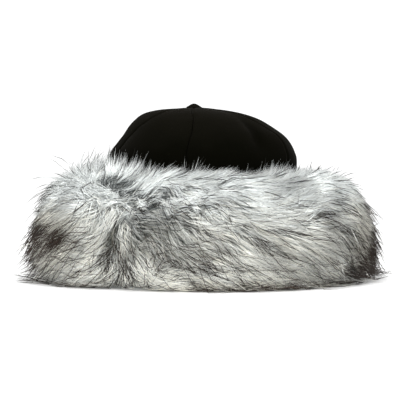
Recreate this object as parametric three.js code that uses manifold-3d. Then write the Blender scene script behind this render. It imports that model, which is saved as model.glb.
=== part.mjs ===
// Cuffed winter hat: a crown of six cloth panels with a covered button on top, a
// cloth head band below it, and a deep fur cuff round the band. Millimetres, +Z up.
// The front looks towards -Y. The hat stands on the cuff's underside, open below.
import * as THREE from "three";
import { mergeVertices } from "three/addons/utils/BufferGeometryUtils.js";
import Module from "manifold-3d";

const wasm = await Module();
wasm.setup();

// Driving dimensions
const HEAD_HALF_WIDTH = 90; // inside the band: an oval of 585 mm round
const HEAD_HALF_DEPTH = 96;
const BAND_WALL = 3;
const BAND_HEIGHT = 91;
const BAND_SEGMENTS = 48;
const CLOTH = 2.4; // crown cloth, a napped outside with its backing
const GAP = 0.3; // between pieces that are sewn together
const APEX_HOLE = 2.2; // radius of the hole that the button's shank passes
const BUTTON = {
  radius: 7.2,
  height: 3.7,
  edge: 0.4,
  foot: 6.6,
  shank: 1.6,
  depth: 5,
};

const BAND_HALF_WIDTH = HEAD_HALF_WIDTH + BAND_WALL;
const DEPTH_EXTRA = HEAD_HALF_DEPTH - HEAD_HALF_WIDTH;
const degrees = THREE.MathUtils.degToRad;

// The crown from the front. z is a level's height, middle how far its middle lies
// towards +X, and half its half width. It is a low dome that leans to one side.
const CROWN_LEVELS = [
  { z: BAND_HEIGHT + GAP, middle: 0, half: BAND_HALF_WIDTH },
  { z: 118, middle: 0, half: 94 },
  { z: 127, middle: 0.2, half: 91.8 },
  { z: 136, middle: 1.2, half: 86.5 },
  { z: 144, middle: 0.6, half: 80 },
  { z: 152, middle: -3.2, half: 71.2 },
  { z: 159, middle: -6.5, half: 61.6 },
  { z: 164.6, middle: -10, half: 49.8 },
  { z: 168, middle: -10.5, half: 35 },
  { z: 169.7, middle: -9.8, half: 22 },
  { z: 170.7, middle: -9.2, half: 13 },
  { z: 171.2, middle: -9, half: 7 },
  { z: 171.4, middle: -9, half: APEX_HOLE },
];

// The crown's seams, in order round it. angle is where a seam runs low down, in
// degrees from the front towards +X, sweep how far it turns aside on its way up, and
// pull how far it draws the cloth in, in millimetres.
const SEAMS = [
  { angle: -10, sweep: 10, pull: 1.6 },
  { angle: 60, sweep: -4, pull: 0.6 },
  { angle: 114, sweep: 0, pull: 2.4 },
  { angle: 172, sweep: 4, pull: 2.4 },
  { angle: 232, sweep: 14, pull: 2.8 },
  { angle: 291, sweep: 34, pull: 2.4 },
];
const SWEEP_FROM = 135; // a seam turns aside between these heights
const SWEEP_TO = 172;
const SEAM_FROM = 95; // its pull starts and ends at these heights
const SEAM_TO = 177;
const SEAM_FULL_RADIUS = 40; // nearer the apex the pull fades out

// A fold where the cloth has sunk in beside a seam, with its width in degrees.
const FOLD = { angle: 38, sweep: 10, depth: 5, width: 6, from: 112, to: 172 };

// The fur's body in section. out is the distance from the band, up the height.
const FUR_SECTION = [
  { out: 0.8, up: 90 },
  { out: 14, up: 98 },
  { out: 33, up: 99.5 },
  { out: 51, up: 93 },
  { out: 63, up: 78.5 },
  { out: 69, up: 59 },
  { out: 70, up: 36 },
  { out: 66, up: 14 },
  { out: 53, up: 1.5 },
  { out: 28, up: 0 },
  { out: 0.8, up: 0 },
];
const CLEAR_OF_CROWN = 0.8; // the least out that any of the fur has
const HEAD_CLEARANCE = 0.4; // cut between the fur and what it is sewn round
const PARTING = -31; // degrees from the front, where the pile divides
const PARTING_WIDTH = 9; // degrees
const PARTING_DEPTH = 9;

// The fur's lumps: size in millimetres, waves round the hat and along its section.
const LUMPS = [
  { size: 1.6, round: 5, along: 9, phase: 0 },
  { size: 1.3, round: 11, along: -14, phase: 1.3 },
  { size: 1, round: 17, along: 21, phase: 0.4 },
];

// Rows of locks, from the crown outwards and down. at is the place along the
// section from 0 to 1, sweep and drop how far a lock runs round the hat and down
// the section, rise how high its tip stands off the body, wide its root's width.
const LOCK_ROWS = [
  { at: 0.05, count: 19, sweep: 24, drop: -6, rise: 13, wide: 24 },
  { at: 0.16, count: 22, sweep: 46, drop: 4, rise: 11, wide: 29 },
  { at: 0.3, count: 24, sweep: 52, drop: 14, rise: 12, wide: 31 },
  { at: 0.43, count: 25, sweep: 54, drop: 20, rise: 14, wide: 31 },
  { at: 0.56, count: 25, sweep: 54, drop: 24, rise: 13, wide: 31 },
  { at: 0.69, count: 23, sweep: 50, drop: 20, rise: 12, wide: 28 },
];
const PILE_RADIUS = BAND_HALF_WIDTH + 60; // where a lock's sweep is measured
const LEFT_DROP = 1.5; // the pile hangs more on the left of the parting
const MEETING_DROP = 16; // and straight down where its two sides meet
const NAP_TURN = 3; // how soon the pile lies right over beside the parting
const LOCK_STATIONS = [
  { along: 0, lift: -0.5, size: 1 },
  { along: 0.38, lift: 0.38, size: 0.86 },
  { along: 0.74, lift: 0.8, size: 0.48 },
];
const LOCK_SIDES = 4;
const LOCK_THICKNESS = 0.4; // of its width

const CLOTH_BLACK = new THREE.MeshStandardMaterial({
  color: 0x12110f,
  roughness: 0.95,
  metalness: 0,
});
const BAND_BLACK = new THREE.MeshStandardMaterial({
  color: 0x171614,
  roughness: 0.9,
  metalness: 0,
});
const FUR_GREY = new THREE.MeshStandardMaterial({
  color: 0xc4c6c2,
  roughness: 0.85,
  metalness: 0,
});

// A repeatable number from 0 to 1.
function chance(seed) {
  const s = Math.sin(seed * 12.9898) * 43758.5453;
  return s - Math.floor(s);
}

function closedGeometry(points, faces) {
  const flat = points.flatMap((p) => [p.x, p.y, p.z]);
  return new THREE.BufferGeometry()
    .setAttribute("position", new THREE.Float32BufferAttribute(flat, 3))
    .setIndex(faces);
}

// A grid of points, rows by columns, as triangles that face the viewer who sees
// the columns run to the right and the rows run up.
function gridFaces(rows, columns, index) {
  const faces = [];
  for (let i = 0; i < rows - 1; i++)
    for (let j = 0; j < columns - 1; j++) {
      const [a, b] = [index(i, j), index(i, j + 1)];
      const [c, d] = [index(i + 1, j + 1), index(i + 1, j)];
      faces.push(a, b, c, a, c, d);
    }
  return faces;
}

function toSolid(geometry) {
  const bare = geometry.clone();
  bare.deleteAttribute("normal");
  bare.deleteAttribute("uv");
  const merged = mergeVertices(bare, 1e-3);
  return new wasm.Manifold(
    new wasm.Mesh({
      numProp: 3,
      vertProperties: new Float32Array(merged.attributes.position.array),
      triVerts: new Uint32Array(merged.index.array),
    }),
  );
}

function toGeometry(solid) {
  const mesh = solid.getMesh();
  return new THREE.BufferGeometry()
    .setAttribute("position", new THREE.BufferAttribute(mesh.vertProperties, 3))
    .setIndex(new THREE.BufferAttribute(mesh.triVerts, 1));
}

// A closed profile of { out, up } turned round the head's oval, out from the band.
function ovalRing(profile, segments) {
  const closed = [...profile, profile[0]];
  const lathe = new THREE.LatheGeometry(
    closed.map((p) => new THREE.Vector2(BAND_HALF_WIDTH + p.out, p.up)),
    segments,
  );
  const place = lathe.getAttribute("position");
  for (let i = 0; i < place.count; i++) {
    const radius = Math.hypot(place.getX(i), place.getZ(i));
    const angle = Math.atan2(place.getX(i), place.getZ(i));
    const deep = radius + DEPTH_EXTRA;
    place.setXYZ(
      i,
      radius * Math.sin(angle),
      -deep * Math.cos(angle),
      place.getY(i),
    );
  }
  return lathe;
}

// Crown
function crownLevel(row, angle, pull) {
  const depth = (row.half * (BAND_HALF_WIDTH + DEPTH_EXTRA)) / BAND_HALF_WIDTH;
  const shrink = 1 - pull / Math.max(row.half, 1);
  return new THREE.Vector3(
    row.middle + row.half * shrink * Math.sin(angle),
    -depth * shrink * Math.cos(angle),
    row.z,
  );
}

// Where a line that sweeps aside runs at a height, in degrees.
function sweptAngle(line, z) {
  const { smoothstep } = THREE.MathUtils;
  return line.angle + line.sweep * smoothstep(z, SWEEP_FROM, SWEEP_TO);
}

// A seam draws in most at the dome's shoulder, and not at the band or the apex.
function seamPull(row, across, leftPull, rightPull) {
  const height = THREE.MathUtils.smoothstep(row.z, SEAM_FROM, SEAM_TO);
  const share = Math.sin(Math.PI * height) ** 0.8;
  const edge = across < 0 ? leftPull : rightPull;
  const inside = Math.min(1, row.half / SEAM_FULL_RADIUS);
  return edge * share * inside * Math.abs(across) ** 3;
}

function foldPull(row, angle) {
  const height = THREE.MathUtils.smoothstep(row.z, FOLD.from, FOLD.to);
  const off = (angle - degrees(sweptAngle(FOLD, row.z))) / degrees(FOLD.width);
  const inside = Math.min(1, row.half / SEAM_FULL_RADIUS);
  return FOLD.depth * Math.sin(Math.PI * height) * inside * Math.exp(-(off ** 2));
}

const PANEL_COLUMNS = 8;

function panelGeometry(number) {
  const left = SEAMS[number];
  const next = SEAMS[(number + 1) % SEAMS.length];
  const right = number + 1 < SEAMS.length ? next : { ...next, angle: next.angle + 360 };
  const columnAngle = (row, share) => {
    const inset = Math.asin(Math.min(0.5, GAP / 2 / row.half));
    const from = degrees(sweptAngle(left, row.z)) + inset;
    const to = degrees(sweptAngle(right, row.z)) - inset;
    return THREE.MathUtils.lerp(from, to, share);
  };
  const last = PANEL_COLUMNS - 1;
  const outer = CROWN_LEVELS.map((row) =>
    Array.from({ length: PANEL_COLUMNS }, (_, j) => {
      const across = (2 * j) / last - 1;
      const angle = columnAngle(row, j / last);
      const pull = seamPull(row, across, left.pull, right.pull);
      return crownLevel(row, angle, pull + foldPull(row, angle));
    }),
  );
  const rows = outer.length;
  const inner = outer.map((line, i) =>
    line.map((p, j) => {
      const up = outer[Math.min(i + 1, rows - 1)][j]
        .clone()
        .sub(outer[Math.max(i - 1, 0)][j]);
      const along = line[Math.min(j + 1, last)]
        .clone()
        .sub(line[Math.max(j - 1, 0)]);
      const inwards = up.cross(along);
      // At a seam both panels take their thickness in the seam's own plane.
      const angle = columnAngle(CROWN_LEVELS[i], j / last);
      const round = new THREE.Vector3(Math.cos(angle), Math.sin(angle), 0);
      if (j === 0 || j === last)
        inwards.addScaledVector(round, -inwards.dot(round));
      if (i === 0) inwards.setZ(0);
      if (i === rows - 1) inwards.set(0, 0, -1);
      return p.clone().addScaledVector(inwards.normalize(), CLOTH);
    }),
  );
  const half = rows * PANEL_COLUMNS;
  const out = (i, j) => i * PANEL_COLUMNS + j;
  const into = (i, j) => half + i * PANEL_COLUMNS + j;
  const faces = [
    ...gridFaces(rows, PANEL_COLUMNS, out),
    ...gridFaces(rows, PANEL_COLUMNS, (i, j) => into(i, last - j)),
    ...gridFaces(rows, 2, (i, j) => (j ? out(i, 0) : into(i, 0))),
    ...gridFaces(rows, 2, (i, j) => (j ? into(i, last) : out(i, last))),
    ...gridFaces(2, PANEL_COLUMNS, (i, j) => (i ? out(0, j) : into(0, j))),
    ...gridFaces(2, PANEL_COLUMNS, (i, j) =>
      i ? into(rows - 1, j) : out(rows - 1, j),
    ),
  ];
  return closedGeometry([...outer, ...inner].flat(), faces);
}

const BUTTON_SEGMENTS = 16;
const DOME_STEPS = 5;

function buttonGeometry() {
  const { radius, height, edge, foot, shank, depth } = BUTTON;
  const dome = Array.from({ length: DOME_STEPS + 1 }, (_, i) => {
    const turn = degrees((90 * i) / DOME_STEPS);
    return new THREE.Vector2(
      i < DOME_STEPS ? radius * Math.cos(turn) : 0,
      edge + (height - edge) * Math.sin(turn),
    );
  });
  const profile = [
    new THREE.Vector2(0, -depth),
    new THREE.Vector2(shank, -depth),
    new THREE.Vector2(shank, 0),
    new THREE.Vector2(foot, 0),
    ...dome,
  ];
  return new THREE.LatheGeometry(profile, BUTTON_SEGMENTS).rotateX(Math.PI / 2);
}

// Fur
const SECTION_LINE = new THREE.SplineCurve(
  FUR_SECTION.map((row) => new THREE.Vector2(row.out, row.up)),
);
const SECTION_LENGTH = SECTION_LINE.getLength();

// The body is lumpy, and falls in along the parting.
function furSwell(angle, along) {
  const lumps = LUMPS.reduce(
    (sum, wave) =>
      sum +
      wave.size * Math.sin(wave.round * angle + wave.along * along + wave.phase),
    0,
  );
  const off = Math.atan2(
    Math.sin(angle - degrees(PARTING)),
    Math.cos(angle - degrees(PARTING)),
  );
  const groove =
    PARTING_DEPTH * Math.exp(-((off / degrees(PARTING_WIDTH)) ** 2));
  return lumps - groove;
}

function furPoint(angle, along, lift) {
  const share = THREE.MathUtils.clamp(along, 0, 1);
  const p = SECTION_LINE.getPoint(share);
  const way = SECTION_LINE.getTangent(share);
  const edge = Math.sin(Math.PI * share) ** 0.5;
  const off = lift + furSwell(angle, share) * edge;
  const past = (along - share) * SECTION_LENGTH;
  const out = Math.max(p.x - way.y * off + past * way.x, CLEAR_OF_CROWN);
  const up = p.y + way.x * off + past * way.y;
  return new THREE.Vector3(
    (BAND_HALF_WIDTH + out) * Math.sin(angle),
    -(BAND_HALF_WIDTH + DEPTH_EXTRA + out) * Math.cos(angle),
    up,
  );
}

const BODY_SEGMENTS = 36;
const BODY_STEPS = 9;

function furBody() {
  const points = [];
  for (let i = 0; i < BODY_SEGMENTS; i++)
    for (let j = 0; j <= BODY_STEPS; j++) {
      const angle = (2 * Math.PI * i) / BODY_SEGMENTS;
      const p = furPoint(angle, j / BODY_STEPS, 0);
      points.push(p.setZ(Math.max(p.z, 0)));
    }
  const columns = BODY_STEPS + 1;
  const index = (i, j) => (i % BODY_SEGMENTS) * columns + (j % columns);
  const faces = gridFaces(BODY_SEGMENTS + 1, columns + 1, index);
  return toSolid(closedGeometry(points, faces));
}

// How far the pile lies over to each side: away from the parting, and straight
// down where the two sides meet again at the back.
function nap(angle) {
  const turned = Math.sin(angle - degrees(PARTING));
  return THREE.MathUtils.clamp(turned * NAP_TURN, -1, 1);
}

// A number within spread of 1.
function about(spread, seed) {
  return 1 + spread * (2 * chance(seed) - 1);
}

function lockSolid(row, angle, seed) {
  const side = nap(angle);
  const steep = side < 0 ? LEFT_DROP : 1;
  const length = about(0.15, seed + 0.3);
  const sweep = row.sweep * side * length;
  const fall = row.drop * steep + MEETING_DROP * (1 - Math.abs(side));
  const at = (share, lift) =>
    furPoint(
      angle + (sweep * share) / PILE_RADIUS,
      row.at + (fall * length * share) / SECTION_LENGTH,
      lift,
    );
  const rise = row.rise * about(0.2, seed + 0.7);
  const wide = row.wide * about(0.15, seed + 0.1);
  const tip = at(1, rise);
  const points = LOCK_STATIONS.flatMap((station) => {
    const here = at(station.along, station.lift * rise);
    const ahead = at(station.along + 0.1, station.lift * rise).sub(here);
    const outwards = at(station.along, station.lift * rise + 1).sub(here);
    ahead.normalize();
    const across = ahead.clone().cross(outwards).normalize();
    const thick = across.clone().cross(ahead).normalize();
    return Array.from({ length: LOCK_SIDES }, (_, k) => {
      const turn = (-2 * Math.PI * k) / LOCK_SIDES;
      return here
        .clone()
        .addScaledVector(across, (Math.cos(turn) * wide * station.size) / 2)
        .addScaledVector(
          thick,
          (Math.sin(turn) * wide * station.size * LOCK_THICKNESS) / 2,
        );
    });
  });
  const rings = LOCK_STATIONS.length;
  const ring = (i, k) => i * LOCK_SIDES + (k % LOCK_SIDES);
  const [end, root] = [points.length, points.length + 1];
  const faces = gridFaces(rings, LOCK_SIDES + 1, (i, k) => ring(i, k));
  for (let k = 0; k < LOCK_SIDES; k++) {
    faces.push(ring(rings - 1, k), ring(rings - 1, k + 1), end);
    faces.push(ring(0, k + 1), ring(0, k), root);
  }
  const middle = at(0, LOCK_STATIONS[0].lift * rise);
  return toSolid(closedGeometry([...points, tip, middle], faces));
}

const CUT_MARGIN = 40; // how far a cutting solid reaches past the fur

// The space that the crown and the band fill, with the gap round them.
function headSpace() {
  const levels = [
    { z: -CUT_MARGIN, middle: 0, half: BAND_HALF_WIDTH },
    ...CROWN_LEVELS,
  ];
  const profile = levels.map(
    (row) => new THREE.Vector2(row.half + HEAD_CLEARANCE, row.z),
  );
  const closed = [
    new THREE.Vector2(0, -CUT_MARGIN),
    ...profile,
    new THREE.Vector2(0, levels.at(-1).z + HEAD_CLEARANCE),
  ];
  const lathe = new THREE.LatheGeometry(closed, BODY_SEGMENTS * 2);
  const place = lathe.getAttribute("position");
  for (let i = 0; i < place.count; i++) {
    const radius = Math.hypot(place.getX(i), place.getZ(i));
    const angle = Math.atan2(place.getX(i), place.getZ(i));
    const row = levels.find((level) => level.z >= place.getY(i) - 1e-3);
    const stretch = 1 + DEPTH_EXTRA / BAND_HALF_WIDTH;
    place.setXYZ(
      i,
      (row ? row.middle : levels.at(-1).middle) + radius * Math.sin(angle),
      -radius * stretch * Math.cos(angle),
      place.getY(i),
    );
  }
  return toSolid(lathe);
}

function furCuffGeometry() {
  let fur = furBody();
  LOCK_ROWS.forEach((row, r) => {
    for (let i = 0; i < row.count; i++) {
      const seed = 101 * r + i;
      const staggered = i + 0.5 * (r % 2) + 0.35 * chance(seed);
      const share = staggered / row.count;
      fur = fur.add(lockSolid(row, 2 * Math.PI * share, seed));
    }
  });
  const wide = 2 * (PILE_RADIUS + 2 * CUT_MARGIN);
  const floor = toSolid(
    new THREE.BoxGeometry(wide, wide, CUT_MARGIN).translate(0, 0, -CUT_MARGIN / 2),
  );
  return toGeometry(fur.subtract(floor).subtract(headSpace()));
}

function named(name, geometry, material) {
  const mesh = new THREE.Mesh(geometry, material);
  mesh.name = name;
  return mesh;
}

const pieces = new THREE.Group();

const bandProfile = [
  { out: -BAND_WALL, up: 0 },
  { out: 0, up: 0 },
  { out: 0, up: BAND_HEIGHT },
  { out: -BAND_WALL, up: BAND_HEIGHT },
];
pieces.add(named("head_band", ovalRing(bandProfile, BAND_SEGMENTS), BAND_BLACK));

SEAMS.forEach((_, i) =>
  pieces.add(named(`crown_panel_${i + 1}`, panelGeometry(i), CLOTH_BLACK)),
);

const apex = CROWN_LEVELS.at(-1);
const button = named("crown_button", buttonGeometry(), CLOTH_BLACK);
button.position.set(apex.middle, 0, apex.z + GAP);
pieces.add(button);

pieces.add(named("fur_cuff", furCuffGeometry(), FUR_GREY));

// The frame's origin is under the middle of the whole hat.
const box = new THREE.Box3().setFromObject(pieces, true);
const middle = box.getCenter(new THREE.Vector3());
pieces.position.set(-middle.x, -middle.y, -box.min.z);

const hat = new THREE.Group();
hat.add(pieces);

export default hat;
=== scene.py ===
# A low winter hat: six napped cloth panels under a covered button, a twill head
# band, and a deep fur cuff of long hair. Metres, +Z up, the front towards -Y.
import math

import bmesh
import bpy
import numpy as np
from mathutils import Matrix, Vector
from mathutils.kdtree import KDTree


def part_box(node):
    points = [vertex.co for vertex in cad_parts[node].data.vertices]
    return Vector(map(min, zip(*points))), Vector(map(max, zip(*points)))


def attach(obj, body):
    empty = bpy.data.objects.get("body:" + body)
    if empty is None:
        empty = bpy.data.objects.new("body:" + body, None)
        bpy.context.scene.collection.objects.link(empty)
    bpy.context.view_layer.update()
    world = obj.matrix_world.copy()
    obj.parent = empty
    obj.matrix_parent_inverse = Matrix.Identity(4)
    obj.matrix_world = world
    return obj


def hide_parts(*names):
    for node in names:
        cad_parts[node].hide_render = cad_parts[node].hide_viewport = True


MM = 0.001

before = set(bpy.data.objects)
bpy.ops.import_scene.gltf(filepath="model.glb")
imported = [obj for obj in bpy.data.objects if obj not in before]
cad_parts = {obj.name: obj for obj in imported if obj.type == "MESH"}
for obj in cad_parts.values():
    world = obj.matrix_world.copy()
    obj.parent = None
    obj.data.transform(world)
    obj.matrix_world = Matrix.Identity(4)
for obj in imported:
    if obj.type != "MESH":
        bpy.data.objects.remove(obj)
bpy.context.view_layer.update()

# The hat's own sizes, as the frame has them. The head's oval is centred on the band.
band_low, band_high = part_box("head_band")
CENTRE_X = (band_low.x + band_high.x) / 2
CENTRE_Y = (band_low.y + band_high.y) / 2
BAND_HALF_WIDTH = (band_high.x - band_low.x) / 2
BAND_HALF_DEPTH = (band_high.y - band_low.y) / 2
BAND_HEIGHT = band_high.z
BAND_WALL = 3 * MM
CLOTH = 2.4 * MM
GAP = 0.3 * MM
SEED = 11

# Camera: as in the photograph, nearly level, from the front and far away
CAMERA_DISTANCE = 1.4
CAMERA_RISE = 0.78  # degrees above the point it looks at
CAMERA_AIM = (-3 * MM, 79 * MM)  # x from the head's middle, and height
CAMERA_LENS = 126  # millimetres on a 36 mm wide sensor


def place_camera():
    aim = Vector((CENTRE_X + CAMERA_AIM[0], CENTRE_Y, CAMERA_AIM[1]))
    rise = math.radians(CAMERA_RISE)
    back = Vector((0, -math.cos(rise), math.sin(rise)))
    data = bpy.data.cameras.new("camera")
    data.lens = CAMERA_LENS
    data.sensor_width = 36
    camera = bpy.data.objects.new("camera", data)
    camera.location = aim + back * CAMERA_DISTANCE
    camera.rotation_euler = (-back).to_track_quat("-Z", "Y").to_euler()
    bpy.context.scene.collection.objects.link(camera)
    bpy.context.scene.camera = camera


# Colours and nodes
def linear(hex_colour):
    """An sRGB hex colour as a linear one with alpha."""
    parts = [int(hex_colour[i : i + 2], 16) / 255 for i in (1, 3, 5)]
    turned = [
        c / 12.92 if c <= 0.04045 else ((c + 0.055) / 1.055) ** 2.4 for c in parts
    ]
    return (*turned, 1.0)


def add_node(tree, kind, settings=(), **inputs):
    """Adds a node. settings are its own properties, and inputs are values or the
    outputs that feed its sockets, by socket name or by in_ and a number."""
    node = tree.nodes.new(kind)
    for name, value in dict(settings).items():
        setattr(node, name, value)
    for name, value in inputs.items():
        key = int(name[3:]) if name.startswith("in_") else name.replace("_", " ")
        socket = node.inputs[key]
        if isinstance(value, bpy.types.NodeSocket):
            tree.links.new(value, socket)
        else:
            socket.default_value = value
    return node


def new_material(name, hex_colour, roughness, **shine):
    """A Principled material and its parts: the material, its tree and its shader."""
    material = bpy.data.materials.new(name)
    material.use_nodes = True
    tree = material.node_tree
    shader = tree.nodes["Principled BSDF"]
    shader.inputs["Base Color"].default_value = linear(hex_colour)
    shader.inputs["Roughness"].default_value = roughness
    for socket, value in shine.items():
        shader.inputs[socket.replace("_", " ")].default_value = value
    return material, tree, shader


# Painted shade: this attribute darkens the colour deep in the crown's fold and where the
# fur lies open.
PAINTED_SHADE = "painted_shade"  # an attribute, 1 deep in a fold or where the fur lies open


# Napped suede cloth: matt, almost black, with painted light making it paler over the top
# and painted shade darkening it deep in a fold.
def suede_material():
    material, tree, shader = new_material(
        "black_suede_cloth",
        "#060605",
        0.95,
        Sheen_Weight=0.008,
        Sheen_Roughness=0.5,
        Sheen_Tint=linear("#b09c88"),
        Specular_IOR_Level=0.02,
    )
    place = add_node(tree, "ShaderNodeTexCoord").outputs["Object"]
    nap = add_node(
        tree,
        "ShaderNodeTexNoise",
        Vector=place,
        Scale=1 / (1.4 * MM),
        Detail=3.0,
        Roughness=0.6,
    ).outputs["Fac"]
    # Painted light: the colour is paler higher up the crown, with a noisy edge, as if lit
    # from above.
    painted_light_noise = add_node(
        tree,
        "ShaderNodeTexNoise",
        Vector=place,
        Scale=1 / (24 * MM),
        Detail=2.0,
    ).outputs["Fac"]
    height = add_node(tree, "ShaderNodeSeparateXYZ", Vector=place).outputs["Z"]
    painted_light_height = add_node(
        tree,
        "ShaderNodeMath",
        {"operation": "MULTIPLY_ADD"},
        in_0=painted_light_noise,
        in_1=24 * MM,
        in_2=height,
    ).outputs[0]
    spread = add_node(
        tree,
        "ShaderNodeMapRange",
        Value=painted_light_height,
        From_Min=140 * MM,
        From_Max=182 * MM,
    ).outputs["Result"]
    mixed = add_node(
        tree,
        "ShaderNodeMix",
        {"data_type": "RGBA"},
        Factor=spread,
        in_6=linear("#030301"),
        in_7=linear("#0b0a06"),
    ).outputs[2]
    # Painted shade: the cloth is darker deep in the fold.
    shade = add_node(tree, "ShaderNodeAttribute", {"attribute_name": PAINTED_SHADE})
    shaded = add_node(
        tree,
        "ShaderNodeMix",
        {"data_type": "RGBA"},
        Factor=shade.outputs["Fac"],
        in_6=mixed,
        in_7=linear("#020200"),
    ).outputs[2]
    tree.links.new(shaded, shader.inputs["Base Color"])
    bump = add_node(
        tree, "ShaderNodeBump", Height=nap, Strength=0.35, Distance=0.4 * MM
    )
    tree.links.new(bump.outputs["Normal"], shader.inputs["Normal"])
    return material


# Cotton twill: matt black, with fine slanting ribs.
def twill_material():
    material, tree, shader = new_material(
        "black_cotton_twill", "#131211", 0.9, Specular_IOR_Level=0.15
    )
    place = add_node(tree, "ShaderNodeTexCoord").outputs["Object"]
    turned = add_node(tree, "ShaderNodeMapping", Vector=place, Rotation=(0.6, 0.3, 0.7))
    ribs = add_node(
        tree,
        "ShaderNodeTexWave",
        Vector=turned.outputs["Vector"],
        Scale=2 * math.pi / (20 * 1.2 * MM),
        Distortion=1.2,
        Detail=2.0,
    ).outputs["Fac"]
    bump = add_node(
        tree, "ShaderNodeBump", Height=ribs, Strength=0.3, Distance=0.3 * MM
    )
    tree.links.new(bump.outputs["Normal"], shader.inputs["Normal"])
    return material


# The kinds of hair. A kind is one of DARK_STEPS x LIGHT_STEPS x WARM_STEPS, and has
# its own strip of the hair's map: u runs from root to tip, and v picks the strip.
DARK_STEPS = 8
LIGHT_STEPS = 5
WARM_STEPS = 3
KINDS = DARK_STEPS * LIGHT_STEPS * WARM_STEPS
HAIR_MAP = "OFBake"

# How the kind of hair is read from its strip: what each sum gives, the operation and
# its terms. The darkest kind is dark from 0.35 of its length on, and the palest never.
FUR_SUMS = (
    ("strip", "MULTIPLY", "strip", KINDS),
    ("kind", "FLOOR", "strip"),
    ("rest", "DIVIDE", "kind", WARM_STEPS),
    ("rest", "FLOOR", "rest"),
    ("warm", "MODULO", "kind", WARM_STEPS),
    ("warm", "DIVIDE", "warm", WARM_STEPS - 1),
    ("light", "MODULO", "rest", LIGHT_STEPS),
    ("light", "DIVIDE", "light", LIGHT_STEPS - 1),
    ("dark", "DIVIDE", "rest", LIGHT_STEPS),
    ("dark", "FLOOR", "dark"),
    ("dark", "DIVIDE", "dark", DARK_STEPS - 1),
    ("tip_start", "MULTIPLY_ADD", "dark", -0.8, 1.15),
    ("tip_end", "ADD", "tip_start", 0.15),
)
# Where along a hair its shaft and its tip come in: from and to
FUR_STEPS = (
    ("past_root", 0.1, 0.5),
    ("past_shaft", "tip_start", "tip_end"),
)
# Its colours: what each mix gives, its factor and what is mixed. The darkest shaft and
# root are partly painted shade, for the hairs where the fur lies open.
FUR_MIXES = (
    ("deep_shaft", "warm", "#4e5453", "#525248"),
    ("pale_shaft", "warm", "#f6faf9", "#f6f4e9"),
    ("shaft", "light", "deep_shaft", "pale_shaft"),
    ("root", "light", "#2e3231", "#d3d7d5"),
    ("grown", "past_root", "root", "shaft"),
    ("tip", "warm", "#191a15", "#281c13"),
    ("colour", "past_shaft", "grown", "tip"),
)


# Fox fur: a grey root, a white or grey shaft, and a dark tip on some hairs.
def fur_material():
    material, tree, shader = new_material(
        "silver_fox_fur", "#c9cbc7", 0.7, Specular_IOR_Level=0.3
    )
    hair_map = add_node(tree, "ShaderNodeUVMap", {"uv_map": HAIR_MAP})
    split = add_node(tree, "ShaderNodeSeparateXYZ", Vector=hair_map.outputs["UV"])
    found = {"strip": split.outputs["Y"]}
    for name, operation, *terms in FUR_SUMS:
        terms = {f"in_{i}": found.get(term, term) for i, term in enumerate(terms)}
        node = add_node(tree, "ShaderNodeMath", {"operation": operation}, **terms)
        found[name] = node.outputs[0]
    for name, low, high in FUR_STEPS:
        found[name] = add_node(
            tree,
            "ShaderNodeMapRange",
            {"interpolation_type": "SMOOTHSTEP"},
            Value=split.outputs["X"],
            From_Min=found.get(low, low),
            From_Max=found.get(high, high),
        ).outputs["Result"]
    for name, factor, *colours in FUR_MIXES:
        first, second = [found[c] if c in found else linear(c) for c in colours]
        found[name] = add_node(
            tree,
            "ShaderNodeMix",
            {"data_type": "RGBA"},
            Factor=found[factor],
            in_6=first,
            in_7=second,
        ).outputs[2]
    tree.links.new(found["colour"], shader.inputs["Base Color"])
    return material


# Underwool: the dense grey wool next to the skin, darker by the grey places: painted
# shade where the fur lies open at the whorl, the parting and the curls, and the fur's own
# grey in its grey patches.
def wool_material():
    material, tree, shader = new_material(
        "grey_underwool", "#6f7371", 0.95, Specular_IOR_Level=0.1
    )
    place = add_node(tree, "ShaderNodeTexCoord").outputs["Object"]
    tufts = add_node(
        tree,
        "ShaderNodeTexNoise",
        Vector=place,
        Scale=1 / (7 * MM),
        Detail=4.0,
        Roughness=0.65,
    ).outputs["Fac"]
    mixed = add_node(
        tree,
        "ShaderNodeMix",
        {"data_type": "RGBA"},
        Factor=tufts,
        in_6=linear("#8f9391"),
        in_7=linear("#d8dcda"),
    ).outputs[2]
    # Painted shade in the fur's openings, with the grey of the fur's grey patches
    shade = add_node(tree, "ShaderNodeAttribute", {"attribute_name": PAINTED_SHADE})
    shaded = add_node(
        tree,
        "ShaderNodeMix",
        {"data_type": "RGBA"},
        Factor=shade.outputs["Fac"],
        in_6=mixed,
        in_7=linear("#2a2d2c"),
    ).outputs[2]
    tree.links.new(shaded, shader.inputs["Base Color"])
    bump = add_node(
        tree, "ShaderNodeBump", Height=tufts, Strength=0.8, Distance=2 * MM
    )
    tree.links.new(bump.outputs["Normal"], shader.inputs["Normal"])
    return material


# Making pieces
def finish_piece(name, mesh, material, slot, *nodes):
    """Puts a mesh in the scene as a named piece of the hat."""
    mesh.materials.append(material)
    mesh.polygons.foreach_set("use_smooth", [True] * len(mesh.polygons))
    piece = bpy.data.objects.new(name, mesh)
    bpy.context.scene.collection.objects.link(piece)
    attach(piece, "root")
    if nodes:
        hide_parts(*nodes)
    return piece


def finish_shape(name, shape, material, slot, *nodes):
    """The same for a bmesh, with its faces turned outwards."""
    bmesh.ops.recalc_face_normals(shape, faces=shape.faces[:])
    mesh = bpy.data.meshes.new(name)
    shape.to_mesh(mesh)
    shape.free()
    return finish_piece(name, mesh, material, slot, *nodes)


def places_of(shape):
    return np.array([vertex.co[:] for vertex in shape.verts])


def move_to(shape, places):
    for vertex, place in zip(shape.verts, places):
        vertex.co = place


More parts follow.
